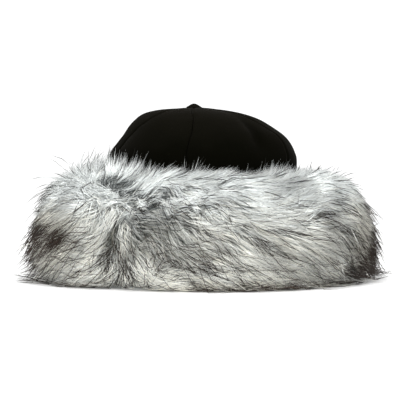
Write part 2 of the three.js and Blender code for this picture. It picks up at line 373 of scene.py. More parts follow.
def spun(profile, steps, closed):
    """A bmesh of (radius, height) points spun round the upright axis. Its front is
    towards -Y. A closed profile ends where it starts, others end on the axis."""
    shape = bmesh.new()
    ring = [shape.verts.new((0, -radius, height)) for radius, height in profile]
    pairs = list(zip(ring, ring[1:]))
    if closed:
        pairs.append((ring[-1], ring[0]))
    edges = [shape.edges.new(pair) for pair in pairs]
    bmesh.ops.spin(
        shape,
        geom=ring + edges,
        axis=(0, 0, 1),
        cent=(0, 0, 0),
        steps=steps,
        angle=2 * math.pi,
        use_merge=True,
        use_duplicate=False,
    )
    bmesh.ops.remove_doubles(shape, verts=shape.verts[:], dist=1e-6)
    return shape


def smooth_step(value, low, high):
    share = np.clip((value - low) / (high - low), 0, 1)
    return share * share * (3 - 2 * share)


def angle_between(angle, other):
    return np.arctan2(np.sin(angle - other), np.cos(angle - other))


def value_round(angle, table):
    """A table's value at angles round the hat. Its rows are degrees and values."""
    return np.interp(np.degrees(angle_between(angle, 0)), table[:, 0], table[:, 1])


def curve_through(points, steps):
    """Points on a smooth curve through the given ones, evenly spaced, and its length."""
    padded = np.vstack([points[:1], points, points[-1:]])
    line = []
    for a, b, c, d in zip(padded, padded[1:], padded[2:], padded[3:]):
        for t in np.linspace(0, 1, 20, endpoint=False):
            bend = (2 * a - 5 * b + 4 * c - d) * t * t + (3 * b - a - 3 * c + d) * t**3
            line.append(0.5 * (2 * b + (c - a) * t + bend))
    line = np.array([*line, points[-1]])
    lengths = np.linalg.norm(np.diff(line, axis=0), axis=1)
    place = np.concatenate([[0], np.cumsum(lengths)])
    even = np.linspace(0, place[-1], steps)
    columns = [np.interp(even, place, column) for column in line.T]
    return np.stack(columns, 1), place[-1]


def soft_field(rng, size, waves=24):
    """A smooth random function of places, of about -1 to 1, with lumps of a size."""
    ways = rng.normal(size=(waves, 3))
    ways /= np.linalg.norm(ways, axis=1, keepdims=True)
    ways *= 2 * math.pi / (size * rng.uniform(1.4, 3.0, (waves, 1)))
    phases = rng.uniform(0, 2 * math.pi, waves)

    def field(places):
        return np.sin(places @ ways.T + phases).sum(-1) / math.sqrt(waves)

    return field


# Head band
BAND_PROFILE = [
    (-BAND_WALL, 0.8 * MM),
    (-BAND_WALL + 0.8 * MM, 0),
    (-0.8 * MM, 0),
    (0, 0.8 * MM),
    (0, BAND_HEIGHT - 0.8 * MM),
    (-0.8 * MM, BAND_HEIGHT),
    (-BAND_WALL + 0.8 * MM, BAND_HEIGHT),
    (-BAND_WALL, BAND_HEIGHT - 0.8 * MM),
]
BAND_SEGMENTS = 128


def make_band(material):
    profile = [(BAND_HALF_WIDTH + out, up) for out, up in BAND_PROFILE]
    shape = spun(profile, BAND_SEGMENTS, closed=True)
    places = places_of(shape)
    radius = np.hypot(places[:, 0], places[:, 1])
    deeper = 1 + (BAND_HALF_DEPTH - BAND_HALF_WIDTH) / radius
    places[:, 0] += CENTRE_X
    places[:, 1] = CENTRE_Y + places[:, 1] * deeper
    move_to(shape, places)
    piece = finish_shape("twill_head_band", shape, material, "band_cloth", "head_band")
    piece.data.set_sharp_from_angle(angle=math.radians(60))


# The crown from the front: height, how far its middle lies to the right and its
# half width, in millimetres.
CROWN_LEVELS = np.array(
    [
        (91.3, 0, 93),
        (118, 0, 94),
        (127, 0.2, 91.8),
        (136, 1.2, 86.5),
        (144, 0.6, 80),
        (152, -3.2, 71.2),
        (159, -6.5, 61.6),
        (164.6, -10, 49.8),
        (168, -10.5, 35),
        (169.7, -9.8, 22),
        (170.7, -9.2, 13),
        (171.2, -9, 7),
        (171.4, -9, 2.2),
    ]
)
# The seams, in order round the crown: where each runs low down, in degrees from the
# front towards +X, how far it turns aside on its way up, and how far it draws the
# cloth in, in millimetres.
SEAMS = (
    {"angle": -10, "sweep": 10, "pull": 1.6},
    {"angle": 60, "sweep": -4, "pull": -1.4},
    {"angle": 114, "sweep": 0, "pull": 2.4},
    {"angle": 172, "sweep": 4, "pull": 2.4},
    {"angle": 232, "sweep": 14, "pull": 2.8},
    {"angle": 291, "sweep": 34, "pull": 2.4},
)
SWEEP_HEIGHTS = (135, 172)
PULL_HEIGHTS = (95, 177)
FULL_RADIUS = 40  # nearer the apex the pull fades out
# Where the cloth has sunk in beside a seam, with its widths to the left and right
FOLD = {
    "angle": 37,
    "sweep": 10,
    "depth": 5.5,
    "widths": (5.5, 9),
    "heights": (112, 172),
}
SEAM_ROLL = 1.3 * MM  # how far the cloth's edge turns down into a seam
SEAM_ROLL_WIDTH = 1.5 * MM
PUCKER = 0.3 * MM
PUCKER_LENGTH = 9 * MM
PUCKER_WIDTH = 6 * MM
SAG = 0.5 * MM  # soft unevenness of the cloth
SAG_SIZE = 26 * MM
PANEL_ROWS = 56
PANEL_COLUMNS = 40

crown_line, _ = curve_through(CROWN_LEVELS, PANEL_ROWS + 1)
crown_sag = soft_field(np.random.default_rng(SEED), SAG_SIZE)


def swept_angle(line, height):
    """Where a line that sweeps aside runs at each height."""
    return np.radians(line["angle"] + line["sweep"] * smooth_step(height, *SWEEP_HEIGHTS))


def make_panel(number, material):
    shape = bmesh.new()
    bmesh.ops.create_grid(
        shape, x_segments=PANEL_COLUMNS, y_segments=PANEL_ROWS, size=1.0
    )
    grid = places_of(shape)
    # Columns stand closer beside the seams.
    across = np.sin(grid[:, 0] * math.pi / 2)
    row = np.round((grid[:, 1] + 1) / 2 * PANEL_ROWS).astype(int)
    height, middle, half = crown_line[row].T
    left, right = SEAMS[number], SEAMS[(number + 1) % len(SEAMS)]
    inset = np.arcsin(np.minimum(0.5, GAP / MM / 2 / half))
    start = swept_angle(left, height) + inset
    end = swept_angle(right, height) - inset
    wide = (end - start) % (2 * math.pi)
    angle = start + wide * (across + 1) / 2
    share = np.sin(math.pi * smooth_step(height, *PULL_HEIGHTS)) ** 0.8
    pull = np.where(across < 0, left["pull"], right["pull"]) * share * np.abs(across) ** 3
    off = np.degrees(angle_between(angle, swept_angle(FOLD, height)))
    off = off / np.where(off < 0, *FOLD["widths"])
    share = np.sin(math.pi * smooth_step(height, *FOLD["heights"]))
    sunk = share * np.exp(-(off**2))
    pull = pull + FOLD["depth"] * sunk
    shrink = 1 - pull * np.minimum(1, half / FULL_RADIUS) / half
    deeper = BAND_HALF_DEPTH / BAND_HALF_WIDTH
    places = np.stack(
        [
            CENTRE_X + (middle + half * shrink * np.sin(angle)) * MM,
            CENTRE_Y - half * deeper * shrink * np.cos(angle) * MM,
            height * MM,
        ],
        1,
    )
    move_to(shape, places)
    bmesh.ops.recalc_face_normals(shape, faces=shape.faces[:])
    shape.normal_update()
    outwards = np.array([vertex.normal[:] for vertex in shape.verts])
    from_middle = places - [CENTRE_X, CENTRE_Y, 0]
    if (outwards * from_middle).sum() < 0:
        bmesh.ops.reverse_faces(shape, faces=shape.faces[:])
        outwards = -outwards
    beside = (1 - np.abs(across)) * half * wide / 2 * MM
    roll = SEAM_ROLL * np.exp(-((beside / SEAM_ROLL_WIDTH) ** 2))
    seam = number + (across > 0)
    phase = height * MM * 2 * math.pi / PUCKER_LENGTH + 2.1 * seam
    pucker = PUCKER * np.sin(phase) * np.exp(-beside / PUCKER_WIDTH)
    sag = SAG * crown_sag(places) * smooth_step(half, 10, 40)
    calm = smooth_step(half, 4, 14)
    off = sag - roll * calm + pucker * calm * smooth_step(beside, 0, 2 * MM)
    move_to(shape, places + outwards * off[:, None])
    # Painted shade: how deep each point lies in the fold, which darkens the cloth's
    # colour there.
    layer = shape.verts.layers.float.new(PAINTED_SHADE)
    for vertex, depth in zip(shape.verts, smooth_step(sunk, 0.2, 0.9)):
        vertex[layer] = depth
    bmesh.ops.solidify(shape, geom=shape.faces[:], thickness=CLOTH)
    node = f"crown_panel_{number + 1}"
    finish_shape(f"suede_{node}", shape, material, "crown_cloth", node)


# The covered button
BUTTON = {
    "radius": 8.2 * MM,
    "height": 3.7 * MM,
    "foot": 6.6 * MM,
    "sunk": 0.5 * MM,
    "shank": 1.6 * MM,
    "depth": 5 * MM,
}
BUTTON_SEGMENTS = 72
DOME_STEPS = 14
GATHERS = 12  # folds of the cloth round the button's edge
GATHER = 0.12 * MM


def make_button(material):
    radius = BUTTON["radius"]
    profile = [
        (0, -BUTTON["depth"]),
        (BUTTON["shank"], -BUTTON["depth"]),
        (BUTTON["shank"], -BUTTON["sunk"]),
        (BUTTON["foot"], -BUTTON["sunk"]),
    ]
    for share in np.linspace(1, 0, DOME_STEPS):
        up = BUTTON["height"] * math.cos(math.pi / 2 * share) ** 1.3
        profile.append((radius * share, up))
    shape = spun(profile, BUTTON_SEGMENTS, closed=False)
    places = places_of(shape)
    reach = np.hypot(places[:, 0], places[:, 1])
    angle = np.arctan2(places[:, 0], -places[:, 1])
    fold = GATHER * np.sin(GATHERS * angle) * smooth_step(reach, 0.6 * radius, radius)
    grow = 1 + fold / np.maximum(reach, 0.1 * MM)
    apex_height, apex_middle, _ = CROWN_LEVELS[-1]
    places[:, 0] = CENTRE_X + apex_middle * MM + places[:, 0] * grow
    places[:, 1] = CENTRE_Y + places[:, 1] * grow
    places[:, 2] += apex_height * MM + GAP
    move_to(shape, places)
    finish_shape("suede_button", shape, material, "crown_cloth", "crown_button")


# The fur's body in section, out from the band and up. Hair stands over it.
FUR_SECTION = np.array(
    [
        (0.8, 90),
        (14, 98),
        (33, 99.5),
        (51, 93),
        (63, 78.5),
        (69, 59),
        (70, 36),
        (66, 14),
        (53, 1.5),
        (28, 0),
        (0.8, 0),
    ]
)
PARTING = math.radians(-31)
PARTING_WIDTH = math.radians(9)
PARTING_DEPTH = 9 * MM
LUMPS = (
    {"size": 1.6, "round": 5, "along": 9, "phase": 0},
    {"size": 1.3, "round": 11, "along": -14, "phase": 1.3},
    {"size": 1.0, "round": 17, "along": 21, "phase": 0.4},
)
SECTION_STEPS = 241
PILE_RADIUS = BAND_HALF_WIDTH + 60 * MM

section_line, SECTION_LENGTH = curve_through(FUR_SECTION * MM, SECTION_STEPS)
section_way = np.gradient(section_line, axis=0)
section_way /= np.linalg.norm(section_way, axis=1, keepdims=True)


def along_section(share, column):
    """A column of a table along the section, at shares from 0 to 1."""
    at = np.clip(share, 0, 1) * (SECTION_STEPS - 1)
    return np.interp(at, np.arange(SECTION_STEPS), column)


def fur_swell(angle, share):
    lumps = sum(
        w["size"] * MM * np.sin(w["round"] * angle + w["along"] * share + w["phase"])
        for w in LUMPS
    )
    off = angle_between(angle, PARTING)
    return lumps - PARTING_DEPTH * np.exp(-((off / PARTING_WIDTH) ** 2))


def fur_point(angle, share, lift):
    """Points over the fur's body: at angles from the front, shares of the section
    from the crown outwards and down, and heights above the body."""
    inside = np.clip(share, 0, 1)
    out = along_section(inside, section_line[:, 0])
    up = along_section(inside, section_line[:, 1])
    way_out = along_section(inside, section_way[:, 0])
    way_up = along_section(inside, section_way[:, 1])
    off = lift + fur_swell(angle, inside) * np.sin(np.pi * inside) ** 0.5
    # Beside the crown the hair stands straight up, and so does what runs past it.
    lean = np.maximum(-way_up, 0)
    out = out + lean * off
    past = 0.5 * np.maximum(-share, 0) * SECTION_LENGTH
    up = up + np.where(way_up > 0, 1, way_out) * off + past
    return np.stack(
        [
            CENTRE_X + (BAND_HALF_WIDTH + out) * np.sin(angle),
            CENTRE_Y - (BAND_HALF_DEPTH + out) * np.cos(angle),
            up,
        ],
        -1,
    )


# The underwool: the fur's body, a little inside the hair
WOOL_DEPTH = 5 * MM
WOOL_LOW_DEPTH = 15 * MM  # at the lower edge
WOOL_SEGMENTS = 160
WOOL_STEPS = 60


def make_underwool(material):
    shares = np.arange(WOOL_STEPS + 1) / WOOL_STEPS
    shape = spun([(1 + share, 0) for share in shares], WOOL_SEGMENTS, closed=True)
    flat = places_of(shape)
    share = np.hypot(flat[:, 0], flat[:, 1]) - 1
    angle = np.arctan2(flat[:, 0], -flat[:, 1])
    low = smooth_step(share, 0.45, 0.62) * (1 - smooth_step(share, 0.72, 0.9))
    depth = WOOL_DEPTH + (WOOL_LOW_DEPTH - WOOL_DEPTH) * low
    inside = np.clip(share, 0, 1)
    places = fur_point(angle, inside, -depth * np.sin(np.pi * inside) ** 0.3)
    places[:, 2] = np.maximum(places[:, 2], 0)
    move_to(shape, places)
    wool = finish_shape("fur_underwool", shape, material, "fur", "fur_cuff")
    # Painted shade where the fur lies open, with the grey of grey patches, taken from the
    # grey places
    shade = wool.data.attributes.new(PAINTED_SHADE, "FLOAT", "POINT")
    shade.data.foreach_set("value", find_places(places, DARK_PLACES, "grey_and_shade"))


# How the hair lies. The pile divides along a line below a whorl: each side turns
# away from it, and the sides meet again at the back, where the hair hangs down.
# Where the dividing line runs: shares of the section, and degrees from the front
DIVIDE = ((0.05, 0.14, 0.25, 0.5), (-66, -52, -36, -29.5))
DIVIDE_HALF = math.radians(9)
DIVIDE_MESS = math.radians(38)  # how far hairs turn at random beside the line
WHORL_SHARE = 0.25
WHORL_REACH = 11 * MM
# Degrees below level, at shares of the section, on each side of the dividing line
FALL_SHARES = (0.05, 0.15, 0.25, 0.35, 0.45, 0.55, 0.65, 0.75, 0.85)
FALL_RIGHT = (-38, -16, -2, 3, 6, 6, 3, -6, -10)
FALL_LEFT = (-50, -20, 12, 34, 38, 28, 10, -4, -10)
# How much steeper it lies in the upper half: degrees from the front, and degrees
STEEPER = np.array(
    [(-20, 20), (0, 24), (15, 14), (26, 0), (50, 2), (70, 22), (90, 30), (120, 0)]
)
# Where the hair curls: degrees from the front, share, reach, degrees that it turns
CURLY = (
    {"angle": -13, "share": 0.35, "wide": 26, "tall": 0.1, "turn": 60},
    {"angle": -15, "share": 0.52, "wide": 20, "tall": 0.12, "turn": 34},
)
CURLIEST = max(row["turn"] for row in CURLY)
# Soft unevenness of how it lies, in lumps of two sizes
SWAY = {"size": 34 * MM, "turn": math.radians(9)}
WAVER = {"size": 12 * MM, "turn": math.radians(8)}
CURL_SIZE = 8 * MM


def unrolled(angle, share):
    """Places on a plain tube as long as the section, for random fields."""
    return np.stack(
        [
            PILE_RADIUS * np.sin(angle),
            -PILE_RADIUS * np.cos(angle),
            share * SECTION_LENGTH,
        ],
        -1,
    )


def from_divide(angle, share):
    """How far round each place is from the dividing line."""
    return angle_between(angle, np.radians(np.interp(share, *DIVIDE)))


def curl_turn(angle, share):
    """How far the hair curls at each place, in degrees."""
    found = np.zeros(len(angle))
    for row in CURLY:
        off = np.degrees(angle_between(angle, math.radians(row["angle"])))
        across = off / row["wide"]
        down = (share - row["share"]) / row["tall"]
        found = np.maximum(found, row["turn"] * np.exp(-(across**4) - down**2))
    return found


class Pile:
    """How the hair lies, everywhere on the cuff."""

    def __init__(self, rng):
        self.sway = soft_field(rng, SWAY["size"])
        self.waver = soft_field(rng, WAVER["size"])
        self.curl = soft_field(rng, CURL_SIZE)

    def direction(self, angle, share, turn):
        """How far to go round and down the section for each metre of hair. turn is
        each hair's own, in radians."""
        off = from_divide(angle, share)
        steeper = value_round(angle, STEEPER) * smooth_step(share, 0.2, 0.32)
        steeper = steeper * (1 - smooth_step(share, 0.52, 0.68))
        right = np.radians(np.interp(share, FALL_SHARES, FALL_RIGHT) + steeper)
        left = np.radians(np.interp(share, FALL_SHARES, FALL_LEFT))
        side = smooth_step(off, -DIVIDE_HALF, DIVIDE_HALF)
        across = side * np.cos(right) - (1 - side) * np.cos(left)
        down = side * np.sin(right) + (1 - side) * np.sin(left)
        near = np.exp(-((off / DIVIDE_HALF) ** 2))
        down = down + near * smooth_step(share - WHORL_SHARE, -0.06, 0.06) * 1.2
        down = down - near * smooth_step(WHORL_SHARE - share, -0.06, 0.06) * 1.2
        meeting = smooth_step(np.abs(off), math.pi - 0.7, math.pi)
        across = across * (1 - meeting)
        down = down + meeting
        # Away from the whorl, all round it
        round_way = off * PILE_RADIUS
        down_way = (share - WHORL_SHARE) * SECTION_LENGTH
        far = np.hypot(round_way, down_way) + 0.1 * MM
        pull = 3 * np.exp(-((far / WHORL_REACH) ** 2))
        across = across + pull * round_way / far
        down = down + pull * down_way / far
        places = unrolled(angle, share)
        way = np.arctan2(down, across) + turn
        way = way + SWAY["turn"] * self.sway(places) + WAVER["turn"] * self.waver(places)
        way = way + np.radians(curl_turn(angle, share)) * self.curl(places)
        return np.cos(way), np.sin(way)

    def paths(self, roots, turn, length, lift, stiff):
        """The points of each hair from root to tip, as hairs x stations x 3. A hair
        follows the body, but the stiffer it is the straighter it goes on."""
        angle, share = roots
        points = []
        for i, u in enumerate(STEPS):
            if i:
                step = (u - STEPS[i - 1]) * length
                across, down = self.direction(angle, share, turn)
                round_radius = PILE_RADIUS * (
                    0.68 + 0.38 * np.sin(np.pi * np.clip(share, 0, 1))
                )
                angle = angle + across * step / round_radius
                share = share + down * step / SECTION_LENGTH
            rise = u ** (0.8 + 0.9 * (1 - smooth_step(roots[1], 0.08, 0.2)))
            height = -ROOT_DEPTH + (lift + ROOT_DEPTH) * rise
            points.append(fur_point(angle, share, height))
        lying = np.stack(points, 1)
        ahead = (lying[:, 1:2] - lying[:, :1]) * (STATIONS - 1)
        straight = lying[:, :1] + ahead * STEPS[None, :, None]
        stiff = np.broadcast_to(stiff, length.shape)[:, None, None]
        return lying * (1 - stiff) + straight * stiff


# The coat: locks hold clumps, and clumps hold hairs. Each strand differs at random
# from what holds it: how far it turns aside, how long it is and how high it stands.
STRANDS = {
    "lock": {"turn": math.radians(13), "long": (0.8, 1.2), "high": (0.7, 1.25)},
    "clump": {"turn": math.radians(9), "long": (0.8, 1.15), "high": (0.75, 1.2)},
    "hair": {"turn": math.radians(13), "long": (0.75, 1.15), "high": (0.7, 1.2)},
}
LOCKS = 800
CLUMPS = 4600
HAIRS_IN_CLUMP = 16
GUARD_HAIRS = 9500
CLUMP_RADIUS = 4.5 * MM
LOCK_PULL = 0.4  # how much a lock draws its clumps' tips together
SCATTER = 2 * MM  # how far apart a clump leaves its hairs' tips
HAIR_LENGTH = 47 * MM
ROOT_DEPTH = 6 * MM
GUARD_LONGER = 1.3
GUARD_HIGHER = (1.0, 1.3)
SOFT_STIFFNESS = 0.1
GUARD_STIFFNESS = (0.1, 0.5)
WISP_STIFFNESS = 0.7  # a wisp is a guard hair that stands off
DROOP = 0.22  # how far a guard hair's tip hangs down, as a share of its length
REACH = 99 * MM  # how far out from the band the longest hairs go
SIDE_FLATTER = (0.35, 0.72)  # how much less the hair stands off at the left and right
SHOULDER = 3 * MM  # how much more it stands off below the rim at the right
SPLAY = (-0.2, 1.0)  # how far hair spreads outwards on the floor, for each metre it lacks
STRAY = 2.5  # how much farther a few guard hairs spread
FLOOR_LAYER = 9 * MM  # how high the tips of hairs that meet on the floor lie
SOFT_WIDTH = (0.55, 0.8)  # millimetres
GUARD_WIDTH = (0.5, 0.78)
STATIONS = 5  # where the way of a hair is worked out, from its root to its tip
STEPS = np.linspace(0, 1, STATIONS)  # how far along the hair each one is
TAPER = np.array([1.0, 0.97, 0.9, 0.65, 0.0])
GUARD_TAPER = np.array([0.3, 0.5, 0.9, 1.0, 0.0])
SOFT_STATIONS = (0, 2, 4)  # the ones that a soft hair is drawn through
GUARD_STATIONS = (0, 2, 3, 4)
HAIR_SIDES = 3
PELTS = 5  # the cuff's hair is made in this many pieces, side by side round the hat

# How much higher the hair stands beside the crown: degrees from the front, and mm
CREST = np.array(
    [
        (-180, 3),
        (-110, 16),
        (-90, 27),
        (-60, 19),
        (-44, 13),
        (-34, 10),
        (-26, 6),
        (-19, 2),
        (-16, 1),
        (-13, 12),
        (-9, 12),
        (-6, 2),
        (14, 5),
        (26, 11),
        (56, 12),
        (76, 9),
        (180, 3),
    ]
)
# Up to how high the hair's ends are white: degrees from the front, and mm
FOOT = np.array([(-60, 26), (-25, 18), (0, 14), (40, 12), (60, 11)])

# Dark and grey places: degrees from the front, height, reach each way in
# millimetres, how many hairs have dark tips there and how much greyer hairs are. The
# greyer hairs are partly the fur's own grey, and partly painted shade where the fur
# lies open at the whorl, the parting and the curls.
PLACE_KEYS = ("angle", "height", "wide", "tall", "dark", "grey_and_shade")
DARK_PLACES = [
    dict(zip(PLACE_KEYS, row))
    for row in (
        (-62, 78, 45, 18, 0.3, 0.2),
        (-70, 51, 26, 8, 1.4, 0.55),
        (-51, 48, 14, 8, 1.4, 0.55),
        (-67, 33, 16, 6, 0.3, 0.1),
        (-40, 45, 7, 7, 0.5, 0.3),
        (-38, 73, 7, 4, 0.5, 0.3),
        (-33, 96, 17, 4, 0.3, 0.85),
        (-24, 89, 12, 4, 0.4, 0.9),
        (-44, 101, 20, 4, 0.2, 0.85),
        (-29, 42, 7, 10, 0.8, 0.7),
        (-32, 28, 7, 10, 1.1, 0.8),
        (-25, 23, 7, 8, 1.0, 0.7),
        (-18, 85, 5, 5, 0.5, 1.0),
        (-15, 77, 5, 4, 0.4, 1.0),
        (-11, 87, 5, 5, 0.5, 1.0),
        (-13, 47, 30, 28, 0.25, 0.36),
        (-5, 62, 10, 4, 0.6, 0.4),
        (6, 38, 9, 4, 0.7, 0.4),
        (0, 19, 9, 5, 0.7, 0.4),
        (15, 48, 9, 4, 0.9, 0.4),
        (20, 37, 9, 3, 0.6, 0.4),
        (25, 51, 6, 3, 0.7, 0.3),
        (29, 91, 7, 3, 0.4, 0.2),
        (38, 67, 11, 4, 0.8, 0.4),
        (51, 79, 11, 4, 0.9, 0.4),
        (48, 55, 18, 5, 0.7, 0.35),
        (76, 66, 26, 13, 0.9, 0.3),
        (80, 45, 32, 14, 1.0, 0.38),
        (80, 26, 50, 10, 1.0, 0.5),
        (58, 15, 28, 6, 1.2, 0.5),
        (18, 0, 55, 3, 1.2, 0.2),
    )
]
# Where the hair is browner
BROWN_PLACES = (
    {"angle": -62, "height": 42, "wide": 40, "tall": 26, "brown": 0.8},
    {"angle": 80, "height": 40, "wide": 60, "tall": 40, "brown": 0.8},
    {"angle": 18, "height": 0, "wide": 80, "tall": 6, "brown": 0.8},
)
# More dark places, strewn over the back within these limits
BACK_PLACES = 40
BACK_LIMITS = {
    "angle": (88, 285),
    "height": (5, 95),
    "wide": (8, 20),
    "tall": (3, 8),
    "dark": (0.4, 1.0),
    "grey_and_shade": (0.3, 0.6),
}
# How light hair is, from 0 to 1: a plain hair, and what is added in some places. Paler at
# the top right and low down is painted light, and darker in the grey places is partly
# painted shade.
LIGHT = {
    "plain": 0.7,
    "side": 0.24,
    "upper": 0.06,
    "painted_light_top_right": 0.2,
    "grey_and_shade_place": -0.9,
    "guard": -0.3,
    "painted_low_light": 0.55,
    "painted_foot_light": 0.4,
    "lock": 0.08,
    "hair": 0.14,
}


def find_places(points, places, key):
    """The strongest of a key's values that reaches each point."""
    angle = np.arctan2(points[:, 0] - CENTRE_X, CENTRE_Y - points[:, 1])
    found = np.zeros(len(points))
    for row in places:
        off = angle_between(angle, math.radians(row["angle"])) * PILE_RADIUS
        across = off / (row["wide"] * MM)
        up = (points[:, 2] / MM - row["height"]) / row["tall"]
        found = np.maximum(found, row[key] * np.exp(-((across**2 + up**2) ** 2)))
    return found


def keep_clear(points, splay, layer):
    """Moves what would lie in the crown or the floor out of it, and keeps the
    longest hairs within the hat's reach."""
    x = points[..., 0] - CENTRE_X
    y = points[..., 1] - CENTRE_Y
    z = points[..., 2]
    half = (np.interp(z / MM, CROWN_LEVELS[:, 0], CROWN_LEVELS[:, 2]) + 1.5) * MM
    middle = np.interp(z / MM, CROWN_LEVELS[:, 0], CROWN_LEVELS[:, 1]) * MM
    deep = half * BAND_HALF_DEPTH / BAND_HALF_WIDTH
    reach = np.sqrt(((x - middle) / half) ** 2 + (y / deep) ** 2)
    grow = np.where(reach < 1, 1 / np.maximum(reach, 0.2), 1)
    floor = 0.4 * MM + layer[:, None] * STEPS**2
    under = np.maximum(floor - z, 0)
    grow = grow + splay[:, None] * under / np.hypot(x, y)
    farthest = grow * np.sqrt(
        (x / (BAND_HALF_WIDTH + REACH)) ** 2 + (y / (BAND_HALF_DEPTH + REACH)) ** 2
    )
    grow = np.where(farthest > 1, grow / farthest, grow)
    height = np.maximum(z, floor) + 0.04 * under
    return np.stack(
        [CENTRE_X + middle + (x - middle) * grow, CENTRE_Y + y * grow, height], -1
    )


def hair_faces(rings, levels):
    """The faces of one hair, as their corners, and each corner's place on the hair's
    own strip of the map."""
    columns = (0.25, 0.5, 0.75)
    tip = rings * HAIR_SIDES
    last = tip - HAIR_SIDES
    faces, spots = [], []
    for k in range(HAIR_SIDES):
        n = (k + 1) % HAIR_SIDES
        for i in range(rings - 1):
            a, b = i * HAIR_SIDES + k, i * HAIR_SIDES + n
            faces.append((a, b, b + HAIR_SIDES, a + HAIR_SIDES))
            low, high = levels[i], levels[i + 1]
            spots += [(low, columns[k]), (low, columns[n])]
            spots += [(high, columns[n]), (high, columns[k])]
        faces.append((last + k, last + n, tip))
        spots += [(levels[-2], columns[k]), (levels[-2], columns[n]), (0.999, 0.5)]
    faces.append((2, 1, 0))
    spots += [(0.001, columns[2]), (0.02, columns[1]), (0.001, columns[0])]
    return faces, np.array(spots)


def hair_mesh(name, paths, widths, kinds, levels):
    """One mesh of closed, tapered hairs of three sides. paths is hairs x stations
    x 3, widths is hairs x stations, and levels are how far along a hair each station
    is. The last station is the tip."""
    hairs, stations = paths.shape[:2]
    rings = stations - 1
    ahead = np.gradient(paths, axis=1)
    ahead /= np.linalg.norm(ahead, axis=2, keepdims=True) + 1e-12
    side = np.cross(ahead, np.array([0.0, 0.0, 1.0]))
    side /= np.linalg.norm(side, axis=2, keepdims=True) + 1e-9
    out = np.cross(side, ahead)
    corners = []
    for k in range(HAIR_SIDES):
        turn = 2 * math.pi * k / HAIR_SIDES
        off = side * math.cos(turn) + out * math.sin(turn)
        corners.append(paths + off * widths[..., None] / 2)
    corners = np.stack(corners, 2)[:, :rings].reshape(hairs, rings * HAIR_SIDES, 3)
    verts = np.concatenate([corners, paths[:, -1:]], 1)
    per_hair = verts.shape[1]
    faces, spots = hair_faces(rings, levels)
    one = np.concatenate(faces)
    loops = (one[None, :] + per_hair * np.arange(hairs)[:, None]).ravel()
    sizes = np.tile([len(face) for face in faces], hairs)
    starts = np.concatenate([[0], np.cumsum(sizes)[:-1]])
    mesh = bpy.data.meshes.new(name)
    mesh.vertices.add(hairs * per_hair)
    mesh.vertices.foreach_set("co", verts.astype(np.float32).ravel())
    mesh.loops.add(len(loops))
    mesh.loops.foreach_set("vertex_index", loops.astype(np.int32))
    mesh.polygons.add(len(starts))
    mesh.polygons.foreach_set("loop_start", starts.astype(np.int32))
    mesh.update(calc_edges=True)
    hair_map = mesh.uv_layers.new(name=HAIR_MAP)
    uv = np.tile(spots, (hairs, 1))
    uv[:, 1] = (np.repeat(kinds, len(one)) + uv[:, 1]) / KINDS
    hair_map.data.foreach_set("uv", uv.astype(np.float32).ravel())
    mesh.validate()
    return mesh


def spread_roots(rng, count):
    """Roots spread evenly over the cuff: their angles and shares."""
    order = np.arange(count)
    share = 0.015 + 0.83 * (order + rng.uniform(0, 1, count)) / count
    golden = (math.sqrt(5) - 1) / 2
    turns = (order * golden + 0.01 * rng.normal(size=count)) % 1
    return 2 * math.pi * turns - math.pi, share


def usual_length(angle, share):
    """Hair is shorter where it curls, beside the crown and under the cuff."""
    length = HAIR_LENGTH * (1 - 0.5 * curl_turn(angle, share) / CURLIEST)
    length = length * (0.55 + 0.45 * smooth_step(share, 0.03, 0.3))
    return length * (1 - 0.55 * smooth_step(share, 0.62, 0.8))


def usual_lift(angle, share):
    """How far above the body the tips stand: more low down, less under the cuff and
    at the sides, and most beside the crown."""
    lift = (6 + 6 * smooth_step(share, 0.25, 0.5)) * MM
    lift = lift * (1 - 0.75 * smooth_step(share, 0.68, 0.82))
    side = np.abs(np.sin(angle))
    flatter = np.where(np.sin(angle) < 0, *SIDE_FLATTER)
    lift = lift * (1 - flatter * side**4)
    shoulder = smooth_step(share, 0.08, 0.2) * (1 - smooth_step(share, 0.35, 0.5))
    lift = lift + SHOULDER * shoulder * smooth_step(np.sin(angle), 0.5, 0.95)
    lift = lift * (1 - 0.5 * side**3 * smooth_step(share, 0.5, 0.7))
    crest = value_round(angle, CREST) * MM
    return lift + crest * (1 - smooth_step(share, 0.08, 0.24))


def strand_paths(pile, strands, stiffness):
    """The ways of strands whose lengths and heights are shares of the usual ones."""
    roots = strands["angle"], strands["share"]
    long = strands["long"] * usual_length(*roots)
    high = strands["high"] * usual_lift(*roots)
    return pile.paths(roots, strands["turn"], long, high, stiffness)


def grow_locks(rng, pile):
    """Locks, spread evenly over the cuff."""
    angle, share = spread_roots(rng, LOCKS)
    row = STRANDS["lock"]
    locks = {
        "angle": angle,
        "share": share,
        "turn": row["turn"] * rng.normal(size=LOCKS),
        "long": rng.uniform(*row["long"], LOCKS),
        "high": rng.uniform(*row["high"], LOCKS),
        "tone": rng.normal(size=LOCKS),
    }
    locks["paths"] = strand_paths(pile, locks, SOFT_STIFFNESS)
    return locks


